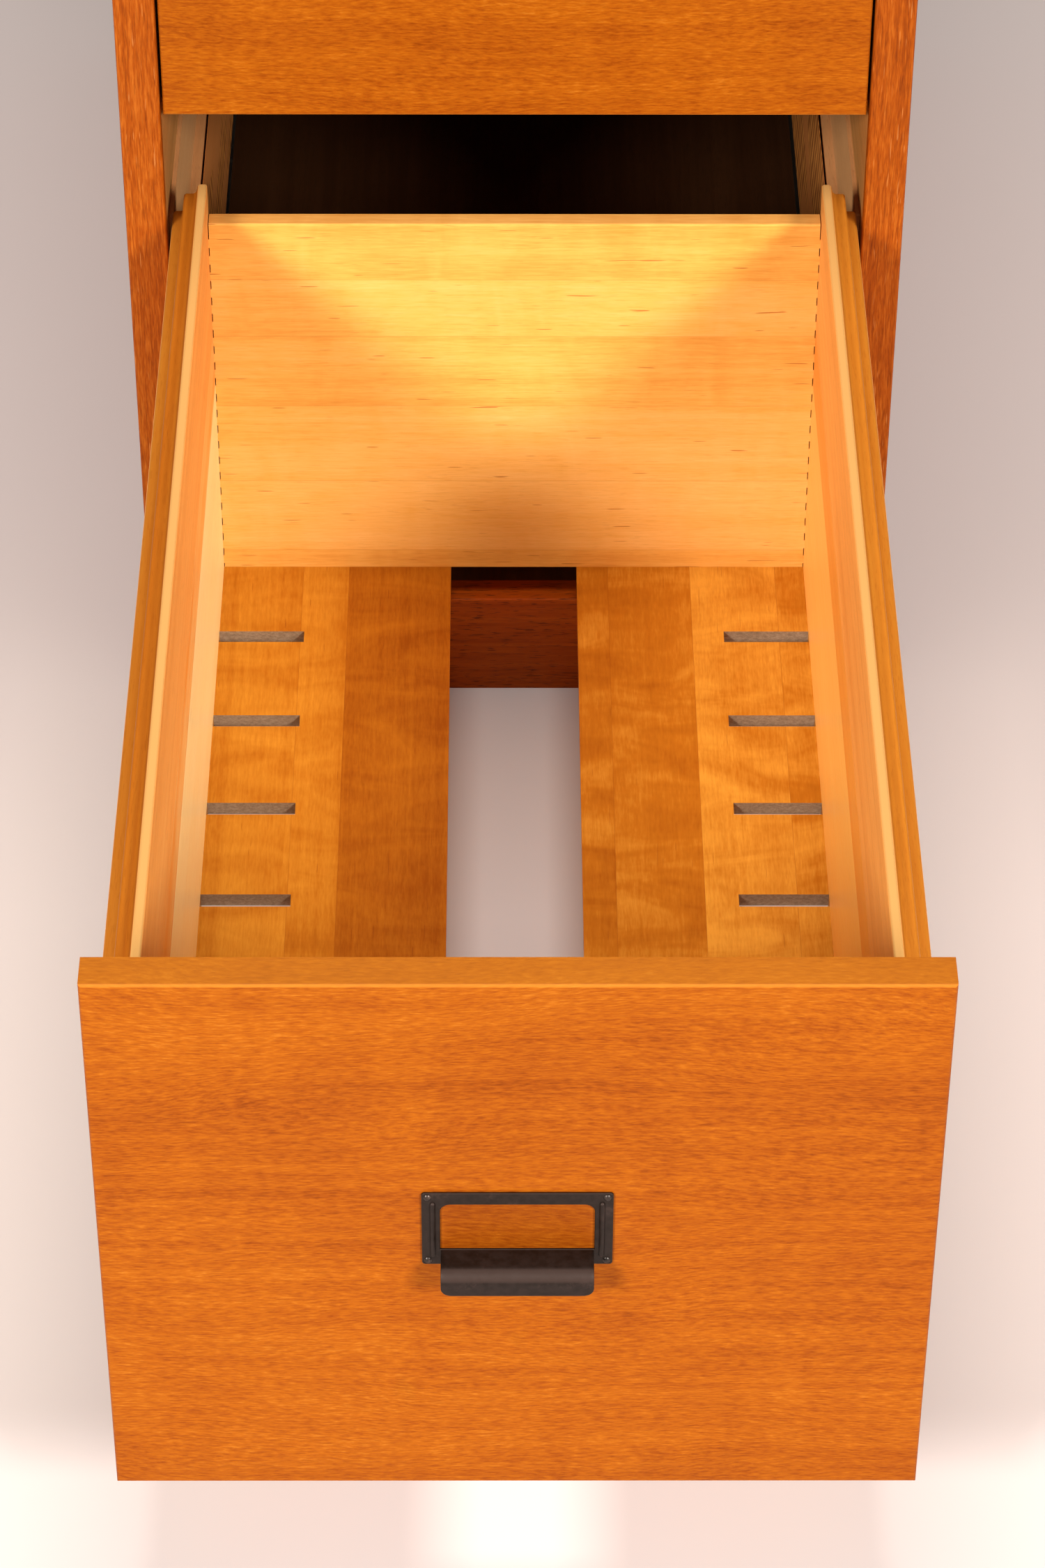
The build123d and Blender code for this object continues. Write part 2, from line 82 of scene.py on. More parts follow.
class Graph:
    """One material and short words for building its node tree."""

    def __init__(self, name):
        self.material = bpy.data.materials.new(name)
        self.material.use_nodes = True
        self.tree = self.material.node_tree
        self.shader = self.tree.nodes["Principled BSDF"]
        self.place = self.new("ShaderNodeTexCoord").outputs["Object"]

    def new(self, kind, **settings):
        node = self.tree.nodes.new(kind)
        for key, value in settings.items():
            setattr(node, key, value)
        return node

    def feed(self, socket, value):
        if isinstance(value, bpy.types.NodeSocket):
            self.tree.links.new(value, socket)
        else:
            socket.default_value = value

    def math(self, operation, *values):
        node = self.new("ShaderNodeMath", operation=operation)
        for socket, value in zip(node.inputs, values):
            self.feed(socket, value)
        return node.outputs[0]

    def combine(self, x, y, z):
        node = self.new("ShaderNodeCombineXYZ")
        for socket, value in zip(node.inputs, (x, y, z)):
            self.feed(socket, value)
        return node.outputs[0]

    def separate(self, vector):
        node = self.new("ShaderNodeSeparateXYZ")
        self.feed(node.inputs[0], vector)
        return node.outputs

    def off_centre(self):
        """Distance from the cabinet's middle plane."""
        return self.math("ABSOLUTE", self.separate(self.place)[0])

    def facing(self, axis):
        """How far the surface faces along an axis, 0 to 1, either way."""
        normal = self.separate(self.new("ShaderNodeNewGeometry").outputs["Normal"])
        return self.math("ABSOLUTE", normal[AXES[axis]])

    def stretch(self, vector, factors):
        node = self.new("ShaderNodeVectorMath", operation="MULTIPLY")
        self.feed(node.inputs[0], vector)
        self.feed(node.inputs[1], factors)
        return node.outputs[0]

    def noise(self, vector, factors, detail=2.0, roughness=0.5, distortion=0.0):
        """Noise in a space whose axes are scaled by the factors, per metre."""
        node = self.new("ShaderNodeTexNoise")
        self.feed(node.inputs["Vector"], self.stretch(vector, factors))
        self.feed(node.inputs["Scale"], 1.0)
        self.feed(node.inputs["Detail"], detail)
        self.feed(node.inputs["Roughness"], roughness)
        self.feed(node.inputs["Distortion"], distortion)
        return node.outputs["Fac"]

    def grain(self, space, along, across, detail=2.0, roughness=0.5, distortion=0.0):
        """Noise in a wood's own space, with one scale along the grain and one across it."""
        return self.noise(space, (along, across, across), detail, roughness, distortion)

    def between(self, value, low, high):
        """0 below low, 1 above high, smooth between; high may be under low."""
        node = self.new("ShaderNodeMapRange", interpolation_type="SMOOTHSTEP")
        self.feed(node.inputs["Value"], value)
        self.feed(node.inputs["From Min"], low)
        self.feed(node.inputs["From Max"], high)
        return node.outputs["Result"]

    def blend(self, factor, a, b, mode="MIX"):
        node = self.new("ShaderNodeMix", data_type="RGBA", blend_type=mode)
        self.feed(node.inputs["Factor"], factor)
        self.feed(node.inputs[MIX_A], colour(a))
        self.feed(node.inputs[MIX_B], colour(b))
        return node.outputs[MIX_RESULT]

    def share(self, mask, amount):
        """A mask weakened to an amount."""
        return self.math("MULTIPLY", mask, amount)

    def ramp(self, value, *tones):
        """Colours spread evenly from 0 to 1."""
        node = self.new("ShaderNodeValToRGB")
        elements = node.color_ramp.elements
        while len(elements) < len(tones):
            elements.new(0.5)
        for index, tone in enumerate(tones):
            elements[index].position = index / (len(tones) - 1)
            elements[index].color = colour(tone)
        self.feed(node.inputs["Fac"], value)
        return node.outputs["Color"]

    def surface(self, base, roughness, height, bump=0.2, relief=0.3 * MM, metallic=0.0, specular=0.4,
                sheen_tint=(1.0, 1.0, 1.0)):
        self.feed(self.shader.inputs["Base Color"], base)
        self.feed(self.shader.inputs["Roughness"], roughness)
        self.feed(self.shader.inputs["Metallic"], metallic)
        self.feed(self.shader.inputs["Specular IOR Level"], specular)
        self.feed(self.shader.inputs["Specular Tint"], colour(sheen_tint))
        node = self.new("ShaderNodeBump")
        self.feed(node.inputs["Strength"], bump)
        self.feed(node.inputs["Distance"], relief)
        self.feed(node.inputs["Height"], height)
        self.feed(self.shader.inputs["Normal"], node.outputs["Normal"])


def colour(value):
    """A linear colour with its alpha, or a socket as it is."""
    if isinstance(value, bpy.types.NodeSocket):
        return value
    return (*value[:3], 1.0)


# ---- how a wood is made up

GLUE_LINE = 0.2 * MM           # half the width of a glue line
GLUE_SHOWS = 0.3               # how strongly a glue line takes the pores' tone
BOARD_SHIFT = 3.7              # how far the grain moves from one board, or seed, to the next
PORE_DEPTH = 1.5               # against the relief of the fibres
GLOSS_SPREAD = 0.22            # how far the roughness varies with the fibres
WOOD_SHEEN = (1.0, 0.75, 0.5)


def boards(graph, along, across, joints, seed):
    """Grain space (along, across, depth) shifted at each glued joint, the tone added, and the glue lines.

    Every joint is its place in mm and the change of tone beyond it."""
    axes = graph.separate(graph.place)
    depth = ({"x", "y", "z"} - {along, across}).pop()
    position = axes[AXES[across]]
    shift = BOARD_SHIFT * seed
    tone = 0.0
    glue = 0.0
    for place, change in joints:
        beyond = graph.math("GREATER_THAN", position, place * MM)
        shift = graph.math("MULTIPLY_ADD", beyond, BOARD_SHIFT, shift)
        tone = graph.math("MULTIPLY_ADD", beyond, change, tone)
        glue = graph.math("ADD", glue, graph.math("COMPARE", position, place * MM, GLUE_LINE))
    space = graph.combine(
        graph.math("ADD", axes[AXES[along]], shift),
        graph.math("ADD", position, shift),
        axes[AXES[depth]],
    )
    return space, tone, glue


def bent(graph, space, wave):
    """Grain space with its lines bent sideways by up to about a wave."""
    sway = graph.math("MULTIPLY", graph.grain(space, 3.0, 9.0), wave)
    along, across, depth = graph.separate(space)
    return graph.combine(along, graph.math("ADD", across, sway), graph.math("ADD", depth, sway))


def open_pores(graph, space):
    """Where long open pores show, closer together in clusters."""
    grains = graph.grain(space, 120.0, 1500.0, 1.0)
    clusters = graph.grain(space, 9.0, 70.0)
    limit = graph.math("MULTIPLY_ADD", clusters, -0.2, 0.68)
    return graph.between(grains, limit, graph.math("ADD", limit, 0.08))


def sparse_streaks(graph, space):
    """Where short single streaks show."""
    return graph.between(graph.grain(space, 38.0, 700.0, 1.0, 0.4), 0.735, 0.775)


def wood(name, along, across, tones, joints=(), seed=0, drift=0.5, rings=0.4, fibre=0.3, figure=0.2,
         pores=0.0, pore_tone=(0.1, 0.03, 0.01), streaks=0.0, wave=0.004, fibre_size=(38.0, 620.0),
         roughness=0.42, specular=0.16, bump=0.2, middle=0.5, ring_pitch=110, dress=None):
    """A procedural wood. The amounts say how strongly each kind of figure moves the tone."""
    graph = Graph(name)
    straight, tone, glue = boards(graph, along, across, joints, seed)
    space = bent(graph, straight, wave)
    fibres = graph.grain(space, *fibre_size, 2.0, 0.6)
    layers = [
        (graph.grain(space, 1.6, 16.0, 3.0, 0.55), drift),
        (graph.grain(space, 2.2, ring_pitch, 3.0, 0.6), rings),
        (fibres, fibre),
        (graph.grain(space, 28.0, 12.0, 3.0, 0.55, 1.2), figure),
    ]
    shade = graph.math("ADD", middle, tone)
    for value, amount in layers:
        offset = graph.math("SUBTRACT", value, 0.5)
        shade = graph.math("ADD", shade, graph.math("MULTIPLY", offset, amount))
    base = graph.ramp(shade, *tones)
    height = fibres
    if pores:
        holes = open_pores(graph, space)
        base = graph.blend(graph.share(holes, pores), base, pore_tone)
        height = graph.math("SUBTRACT", fibres, graph.share(holes, PORE_DEPTH))
    if streaks:
        base = graph.blend(graph.share(sparse_streaks(graph, space), streaks), base, pore_tone)
    if joints:
        base = graph.blend(graph.share(glue, GLUE_SHOWS), base, pore_tone)
    if dress:
        base = dress(graph, base)
    gloss = graph.math("MULTIPLY_ADD", fibres, GLOSS_SPREAD, roughness - GLOSS_SPREAD / 2)
    graph.surface(base, gloss, height, bump, specular=specular, sheen_tint=WOOD_SHEEN)
    return graph.material


# ---- where the woods change over one piece

LOWER_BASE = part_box("lower_front")[0].z / MM
UPPER_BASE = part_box("upper_front")[0].z / MM
PITCH = UPPER_BASE - LOWER_BASE

PANEL_MIDDLE = sum(corner.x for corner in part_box("side_panel_right")) / 2
GUIDE_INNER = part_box("lower_guide_right")[0].x
PULL_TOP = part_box("lower_pull")[1].z / MM - LOWER_BASE
WINDOW_LOW = PULL_TOP - LIP_DROP / MM

# A moulded rail: a ridge on its inner side, then two treads that step down outwards.
RAIL_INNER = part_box("lower_rail_right")[0].x
RAIL_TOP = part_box("lower_rail_right")[1].z / MM - LOWER_BASE
RIDGE_SIDE = RAIL_INNER + 4.8 * MM
TREAD_STEP = RAIL_INNER + 13.0 * MM
TREADS_LOW = RAIL_TOP - 19.1   # just under the outer tread
UNDER_RAIL = 170.0             # a height in the side board, below the rail


def above(graph, height):
    """Distance over a height of whichever drawer the surface belongs to, in metres."""
    z = graph.separate(graph.place)[2]
    over = graph.math("SUBTRACT", z, (LOWER_BASE + height) * MM)
    return graph.math("FLOORED_MODULO", over, PITCH * MM)


def veneer_edges(graph, base):
    """A front's banded top is more ochre, its arrises get a painted highlight, and the label window is
    darkened, partly with painted shade.
    """
    ochre = graph.blend(0.5, base, (0.32, 0.105, 0.009))
    # Painted highlight: the rounded top and bottom arrises are paled where they catch the light.
    arris_highlight = (0.56, 0.20, 0.025)
    # Partly painted shade from the frame and lip in front of the window, partly darker wood kept from fading
    # behind the label.
    shade = (0.55, 0.45, 0.4)
    up = graph.facing("z")
    arris = graph.math("MULTIPLY", graph.between(up, 0.1, 0.4), graph.between(up, 0.98, 0.85))
    base = graph.blend(graph.between(up, 0.6, 0.95), base, ochre)
    base = graph.blend(graph.share(arris, 0.4), base, arris_highlight)
    window = graph.math(
        "MULTIPLY",
        graph.between(graph.off_centre(), WINDOW_HALF + 1.3 * MM, WINDOW_HALF - 2.7 * MM),
        graph.between(above(graph, WINDOW_LOW), 32 * MM, 26 * MM),
    )
    return graph.blend(graph.share(window, 0.55), base, shade, "MULTIPLY")


def bare_inside(graph, base):
    """The inner faces of the case are unstained, golden wood."""
    inside = graph.between(graph.off_centre(), PANEL_MIDDLE + 0.5 * MM, PANEL_MIDDLE - 0.5 * MM)
    grain = graph.noise(graph.place, (300.0, 6.0, 260.0), 3.0, 0.6)
    golden = graph.ramp(grain, (0.30, 0.115, 0.025), (0.50, 0.21, 0.055), (0.66, 0.32, 0.11))
    return graph.blend(graph.math("MULTIPLY", inside, graph.facing("x")), base, golden)


def raw_slot_walls(graph, base):
    """The sawn walls of the slots are bare, greyish end grain."""
    grain = graph.noise(graph.place, (420.0, 90.0, 700.0), 3.0, 0.7)
    bare = graph.ramp(grain, (0.13, 0.075, 0.04), (0.32, 0.21, 0.125), (0.52, 0.38, 0.25))
    return graph.blend(graph.between(graph.facing("y"), 0.6, 0.8), base, bare)


def shaded_treads(graph, base):
    """The treads outside a rail's ridge are darkened with painted shade, less on the right rail, and the top
    of the ridge is made duller and less red.
    """
    # Painted shade on the outer and inner treads; the right rail's treads get lighter painted shade.
    outer_tread_shade = (0.45, 0.33, 0.12)
    inner_tread_shade = (0.41, 0.265, 0.075)
    right_tread_shade = (0.53, 0.40, 0.15)
    # A duller, less red tone for the top of the ridge.
    ridge_top_tone = (0.50, 0.255, 0.075)
    foot = (TREADS_LOW - UNDER_RAIL) * MM
    side = graph.separate(graph.place)[0]
    across = graph.math("ABSOLUTE", side)
    treads = graph.math(
        "MULTIPLY",
        graph.between(across, RIDGE_SIDE - 0.2 * MM, RIDGE_SIDE + 0.4 * MM),
        graph.between(above(graph, UNDER_RAIL), foot, foot + 1 * MM),
    )
    shade_over_treads = graph.blend(graph.between(across, TREAD_STEP + 1.0 * MM, TREAD_STEP - 0.5 * MM),
                        outer_tread_shade, inner_tread_shade)
    shade_over_treads = graph.blend(graph.between(side, 0.0, 10 * MM), shade_over_treads, right_tread_shade)
    ridge = graph.math("MULTIPLY", graph.facing("z"), graph.math("SUBTRACT", 1.0, treads))
    base = graph.blend(treads, base, graph.blend(1.0, base, shade_over_treads, "MULTIPLY"))
    return graph.blend(graph.between(ridge, 0.1, 0.95), base, ridge_top_tone)


def tan_top(graph, base):
    """The rear panel's top edge is a little duller and pinker than its face."""
    return graph.blend(graph.between(graph.facing("z"), 0.5, 0.9), base, (0.93, 0.88, 1.0), "MULTIPLY")


def sawn_inside(graph, base):
    """The guides' inner faces are darkened with painted shade, with slanting saw marks in places."""
    inside = graph.between(graph.off_centre(), GUIDE_INNER + 2.0 * MM, GUIDE_INNER + 1.6 * MM)
    wave = graph.new("ShaderNodeTexWave", wave_type="BANDS", bands_direction="DIAGONAL")
    graph.feed(wave.inputs["Vector"], graph.stretch(graph.place, (1.0, 1.0, 0.4)))
    graph.feed(wave.inputs["Scale"], 55.0)
    graph.feed(wave.inputs["Distortion"], 5.0)
    graph.feed(wave.inputs["Detail"], 2.0)
    marks = graph.ramp(wave.outputs["Fac"], (0.18, 0.050, 0.009), (0.62, 0.235, 0.050))
    rough = graph.between(graph.noise(graph.place, (9.0, 7.0, 30.0), 1.0), 0.46, 0.54)
    # Painted shade on the inner faces, deep inside the case.
    inside_shade = graph.blend(1.0, base, (0.76, 0.54, 0.35), "MULTIPLY")
    return graph.blend(inside, base, graph.blend(graph.share(rough, 0.8), inside_shade, marks))


def light_flecks(graph, base):
    """Pale ray flecks and small chips on the solid oak strips."""
    pale = (0.48, 0.17, 0.04)
    flecks = graph.between(graph.noise(graph.place, (900.0, 500.0, 60.0), 1.0), 0.68, 0.76)
    return graph.blend(graph.share(flecks, 0.6), base, pale)


# ---- the woods

# Each side board has a darker strip glued along its top.
DARK_STRIP = 145.0
SIDE_JOINTS = [(LOWER_BASE + DARK_STRIP, -0.6), (UPPER_BASE, 0.6), (UPPER_BASE + DARK_STRIP, -0.6)]

WOODS = {
    "front_veneer": wood(
        "oak_veneer", "x", "z",
        [(0.15, 0.026, 0.001), (0.260, 0.053, 0.002), (0.350, 0.087, 0.003), (0.47, 0.150, 0.012)],
        seed=3, drift=0.5, rings=0.5, fibre=1.1, figure=0.3, fibre_size=(170.0, 950.0), pores=0.2,
        pore_tone=(0.13, 0.020, 0.001), wave=0.05, roughness=0.45, specular=0.1, bump=0.12,
        ring_pitch=150, dress=veneer_edges),
    "edge_oak": wood(
        "solid_oak_edges", "z", "x",
        [(0.12, 0.015, 0.001), (0.29, 0.054, 0.002), (0.48, 0.130, 0.012)],
        seed=8, drift=0.3, rings=0.6, fibre=1.1, figure=0.1, fibre_size=(90.0, 1100.0), pores=0.25,
        pore_tone=(0.08, 0.013, 0.001), wave=0.01, roughness=0.48, bump=0.25,
        ring_pitch=330, dress=light_flecks),
    "case_veneer": wood(
        "oak_veneer_case", "y", "z",
        [(0.13, 0.020, 0.001), (0.27, 0.056, 0.002), (0.42, 0.115, 0.007)],
        seed=12, drift=0.5, rings=0.5, fibre=1.0, figure=0.2, fibre_size=(130.0, 950.0), pores=0.3,
        pore_tone=(0.10, 0.015, 0.001), wave=0.03, roughness=0.42, bump=0.12, dress=bare_inside),
    "plinth_oak": wood(
        "dark_oak", "x", "z",
        [(0.16, 0.022, 0.001), (0.35, 0.054, 0.002), (0.50, 0.098, 0.004)],
        seed=21, drift=0.4, rings=0.7, fibre=0.6, figure=0.1, pores=0.6,
        pore_tone=(0.05, 0.010, 0.002), roughness=0.5, bump=0.25, ring_pitch=240),
    "rear_wood": wood(
        "pale_boards_across", "x", "z",
        [(0.62, 0.245, 0.034), (0.79, 0.395, 0.080), (0.88, 0.50, 0.150)],
        joints=[(LOWER_BASE + 26, 0.25), (LOWER_BASE + 76, -0.08), (LOWER_BASE + 129, -0.17),
                (LOWER_BASE + 177, 0.04), (LOWER_BASE + 215, -0.08)],
        seed=31, drift=0.9, rings=0.6, fibre=0.6, figure=0.45, fibre_size=(60.0, 900.0), middle=0.46,
        pores=0.12, pore_tone=(0.45, 0.16, 0.03), streaks=0.85, roughness=0.38, bump=0.06,
        ring_pitch=160, dress=tan_top),
    # The side boards are one wood; the left board's lighter, yellower tones are painted light on its inner
    # face.
    "side_left_wood": wood(
        "side_left_painted_lighter", "y", "z",
        [(0.86, 0.33, 0.060), (0.95, 0.72, 0.29), (0.97, 0.80, 0.38), (0.98, 0.86, 0.48)],
        joints=SIDE_JOINTS, middle=0.62, seed=37, drift=0.5, rings=0.4, fibre=0.25, figure=0.1,
        pores=0.1, pore_tone=(0.5, 0.2, 0.05), streaks=0.4, roughness=0.38, bump=0.06),
    "side_right_wood": wood(
        "pale_side_right", "y", "z",
        [(0.80, 0.29, 0.045), (0.91, 0.45, 0.095), (0.93, 0.50, 0.12), (0.96, 0.59, 0.17)],
        joints=SIDE_JOINTS, middle=0.60, seed=39, drift=0.5, rings=0.4, fibre=0.25, figure=0.1,
        pores=0.1, pore_tone=(0.5, 0.2, 0.05), streaks=0.4, roughness=0.38, bump=0.06),
    "rail_wood": wood(
        "moulded_rail_wood", "y", "x",
        [(0.68, 0.24, 0.045), (0.86, 0.37, 0.085), (0.93, 0.49, 0.14)],
        seed=43, drift=0.7, rings=0.8, fibre=0.3, figure=0.15,
        pores=0.2, pore_tone=(0.45, 0.15, 0.03), streaks=0.5, roughness=0.45, specular=0.08,
        bump=0.08, ring_pitch=190, dress=shaded_treads),
    "bottom_left_wood": wood(
        "bottom_boards_left", "y", "x",
        [(0.25, 0.058, 0.002), (0.405, 0.130, 0.007), (0.58, 0.245, 0.022)],
        joints=[(-122.0, -0.05), (-95.5, -0.30)], middle=0.62,
        seed=50, drift=0.6, rings=0.4, fibre=0.5, figure=0.8, fibre_size=(120.0, 900.0),
        streaks=0.5, pore_tone=(0.2, 0.04, 0.003), roughness=0.38, bump=0.06,
        ring_pitch=330, dress=raw_slot_walls),
    "bottom_right_wood": wood(
        "bottom_boards_right", "y", "x",
        [(0.27, 0.066, 0.002), (0.41, 0.134, 0.007), (0.62, 0.28, 0.032)],
        joints=[(54.5, 0.05), (102.0, 0.26), (151.5, -0.14)], middle=0.44,
        seed=61, drift=0.6, rings=0.3, fibre=0.5, figure=1.1, fibre_size=(120.0, 900.0),
        streaks=0.3, pore_tone=(0.2, 0.04, 0.003), roughness=0.38, bump=0.06,
        ring_pitch=330, dress=raw_slot_walls),
    "guide_wood": wood(
        "bare_guide_wood", "y", "z",
        [(0.46, 0.185, 0.055), (0.62, 0.295, 0.11), (0.73, 0.385, 0.165)],
        seed=70, drift=0.5, rings=0.35, fibre=0.3, figure=0.1, pores=0.1,
        pore_tone=(0.12, 0.04, 0.012), roughness=0.65, bump=0.3, dress=sawn_inside),
    # These near-black tones are partly painted shade for the dark inside of the case.
    "inner_wood": wood(
        "inner_wood_dark_with_shade", "y", "x",
        [(0.030, 0.009, 0.003), (0.070, 0.024, 0.008), (0.12, 0.045, 0.016)],
        seed=82, drift=0.5, rings=0.6, fibre=0.3, figure=0.1, pores=0.3,
        pore_tone=(0.04, 0.015, 0.006), roughness=0.6, bump=0.15),
    "back_ply": wood(
        "oak_faced_ply", "z", "x",
        [(0.20, 0.060, 0.012), (0.34, 0.12, 0.028), (0.46, 0.19, 0.05)],
        joints=[(-60.0, 0.15), (75.0, -0.2)], seed=90, drift=0.6, rings=0.7, fibre=0.4, figure=0.1,
        pores=0.5, pore_tone=(0.09, 0.03, 0.008), wave=0.03, roughness=0.55, bump=0.2),
    "dowel_wood": wood(
        "dowel_wood", "y", "x",
        [(0.50, 0.26, 0.09), (0.66, 0.38, 0.16), (0.76, 0.48, 0.24)],
        seed=97, pores=0.1, roughness=0.6),
}


# ---- the metals

METAL_SHEEN = (1.0, 0.9, 0.82)
METAL_RELIEF = 0.15 * MM
EVEN_MOTTLE = (260.0, 260.0, 260.0)    # per metre
DRAWN_MOTTLE = (300.0, 18.0, 300.0)    # drawn out along the slides


def metal(name, tones, wear_and_highlight, roughness, metallic, specular=0.5, bend_highlight=0.0, mottle_size=EVEN_MOTTLE):
    """Metal with a mottled surface, rubbed in patches, and with a painted highlight where it bends upwards to
    the front.
    """
    graph = Graph(name)
    mottle = graph.noise(graph.place, mottle_size, 4.0, 0.6)
    base = graph.ramp(graph.between(mottle, 0.3, 0.7), *tones)
    patches = graph.between(graph.noise(graph.place, (95.0, 60.0, 95.0), 5.0, 0.7), 0.58, 0.72)
    base = graph.blend(graph.share(patches, 0.55), base, wear_and_highlight)
    bend = graph.math("MULTIPLY", graph.facing("z"), graph.facing("y"))
    # Painted highlight on the bend of the pull's lip, in the same colour as the rubbed patches.
    base = graph.blend(graph.share(graph.between(bend, 0.15, 0.42), bend_highlight), base, wear_and_highlight)
    gloss = graph.math("MULTIPLY_ADD", mottle, 0.25, roughness - 0.12)
    graph.surface(base, gloss, mottle, 0.15, METAL_RELIEF, metallic, specular, METAL_SHEEN)
    return graph.material


METALS = {
    "pull_metal": metal("black_bronze", [(0.008, 0.0045, 0.003), (0.015, 0.009, 0.007)],
                        (0.040, 0.023, 0.018), 0.46, 0.0, specular=0.2, bend_highlight=0.8),
    "pin_metal": metal("worn_pin_heads", [(0.012, 0.008, 0.006), (0.03, 0.02, 0.016)],
                       (0.12, 0.075, 0.06), 0.36, 0.3),
    "slide_steel": metal("bronzed_steel", [(0.09, 0.07, 0.055), (0.19, 0.16, 0.13)],
                         (0.32, 0.27, 0.21), 0.4, 0.9, mottle_size=DRAWN_MOTTLE),
    "screw_steel": metal("dull_zinc", [(0.24, 0.22, 0.20), (0.38, 0.36, 0.33)],
                         (0.2, 0.12, 0.06), 0.42, 0.95),
}


def material_for(name, slot):
    """The material of a slot, except for the woods that differ by place."""
    side = "left" if name.endswith("left") else "right"
    if "rear_panel" in name:
        return WOODS["rear_wood"]
    if "_rail_" in name:
        return WOODS["rail_wood"]
    if slot == "box_wood":
        return WOODS[f"side_{side}_wood"]
    if "_bottom_left" in name or "_bottom_right" in name:
        return WOODS[f"bottom_{side}_wood"]
    return METALS.get(slot) or WOODS[slot]


def finish_cad_nodes():
    slots = {part["node"]: part["material_slot"] for part in frame["record"]["subparts"]}
    for name, node in frame["nodes"].items():
        node.data.materials.clear()
        node.data.materials.append(material_for(name, slots[name]))


finish_cad_nodes()


# ---- outlines and meshes

def arc(centre, radius, start, end, steps=6):
    """Points on an arc, angles in degrees."""
    for index in range(steps + 1):
        angle = math.radians(start + (end - start) * index / steps)
        yield (centre[0] + radius * math.cos(angle), centre[1] + radius * math.sin(angle))


def rounded_outline(left, low, right, top, radius, low_radius):
    """A rectangle's outline with rounded corners, anticlockwise."""
    points = list(arc((right - radius, top - radius), radius, 0, 90))
    points += arc((left + radius, top - radius), radius, 90, 180)
    points += arc((left + low_radius, low + low_radius), low_radius, 180, 270)
    points += arc((right - low_radius, low + low_radius), low_radius, 270, 360)
    return points


def mesh_object(name, mesh):
    piece = bpy.data.objects.new(name, mesh)
    bpy.context.scene.collection.objects.link(piece)
    return piece


def mesh_of(curve):
    """The mesh of a curve, which is then removed."""
    holder = bpy.data.objects.new("curve_holder", curve)
    mesh = bpy.data.meshes.new_from_object(holder)
    bpy.data.objects.remove(holder)
    bpy.data.curves.remove(curve)
    return mesh


def plate(outlines, thickness, edge):
    """Mesh of a flat plate in XZ with rounded arrises and holes; its back is at y = 0."""
    curve = bpy.data.curves.new("plate_outline", "CURVE")
    curve.dimensions = "2D"
    curve.fill_mode = "BOTH"
    curve.extrude = thickness / 2 - edge
    curve.bevel_depth = edge
    curve.bevel_resolution = 2
    curve.offset = -edge
    for outline in outlines:
        spline = curve.splines.new("POLY")
        spline.points.add(len(outline) - 1)
        for point, (x, z) in zip(spline.points, outline):
            point.co = (x, z, 0, 1)
        spline.use_cyclic_u = True
    mesh = mesh_of(curve)
    mesh.transform(Matrix.Rotation(math.radians(90), 4, "X"))
    mesh.transform(Matrix.Translation((0, -thickness / 2, 0)))
    return mesh


def lip_path(reach, top, low, bend, steps=8):
    """The lip's section in YZ: out from the frame, over the bend and straight down."""
    flat = reach - bend
    start = top - bend
    path = [(0.0, top), (-flat * 0.5, top)]
    path += arc((-flat, start), bend, 90, 180, 10)
    path += [(-reach, start + (low - start) * step / steps) for step in range(1, steps + 1)]
    return path


def lip_mesh(half, reach, top, low, bend, corner, thickness, columns=28):
    """Bent finger lip with rounded lower corners."""
    mesh = bmesh.new()
    rows = []
    for y, z in lip_path(reach, top, low, bend):
        rise = z - low
        trim = corner - math.sqrt(corner ** 2 - (corner - rise) ** 2) if rise < corner else 0.0
        rows.append([mesh.verts.new(((2 * column / columns - 1) * (half - trim), y, z))
                     for column in range(columns + 1)])
    for upper, lower in zip(rows, rows[1:]):
        for column in range(columns):
            mesh.faces.new((upper[column], lower[column], lower[column + 1], upper[column + 1]))
    bmesh.ops.recalc_face_normals(mesh, faces=mesh.faces)
    made = bpy.data.meshes.new("lip")
    mesh.to_mesh(made)
    mesh.free()
    return thickened(made, thickness)


def thickened(mesh, thickness):
    """A sheet made solid, with softened edges."""
    holder = mesh_object("sheet_holder", mesh)
    solid = holder.modifiers.new("solid", "SOLIDIFY")
    solid.thickness = thickness
    solid.offset = -1
    soft = holder.modifiers.new("soft", "BEVEL")
    soft.width = thickness * 0.3
    soft.segments = 3
    soft.limit_method = "ANGLE"
    soft.angle_limit = math.radians(50)
    evaluated = holder.evaluated_get(bpy.context.evaluated_depsgraph_get())
    made = bpy.data.meshes.new_from_object(evaluated)
    bpy.data.objects.remove(holder)
    return made


def bead_mesh(x, low, top, radius):
    """A raised bead with round ends, standing half out of the plate."""
    curve = bpy.data.curves.new("bead", "CURVE")
    curve.dimensions = "3D"
    curve.bevel_depth = radius
    curve.bevel_resolution = 6
    curve.use_fill_caps = True
    spline = curve.splines.new("POLY")
    inwards = [0.0, 0.12, 0.35, 0.7, 1.0]
    girths = [math.sqrt(max(0.02, 1 - (1 - share) ** 2)) for share in inwards]
    rings = [(low + share * radius, girth) for share, girth in zip(inwards, girths)]
    rings += [(top - share * radius, girth) for share, girth in zip(inwards[::-1], girths[::-1])]
    spline.points.add(len(rings) - 1)
    for point, (z, girth) in zip(spline.points, rings):
        point.co = (x, 0, z, 1)
        point.radius = girth
    return mesh_of(curve)


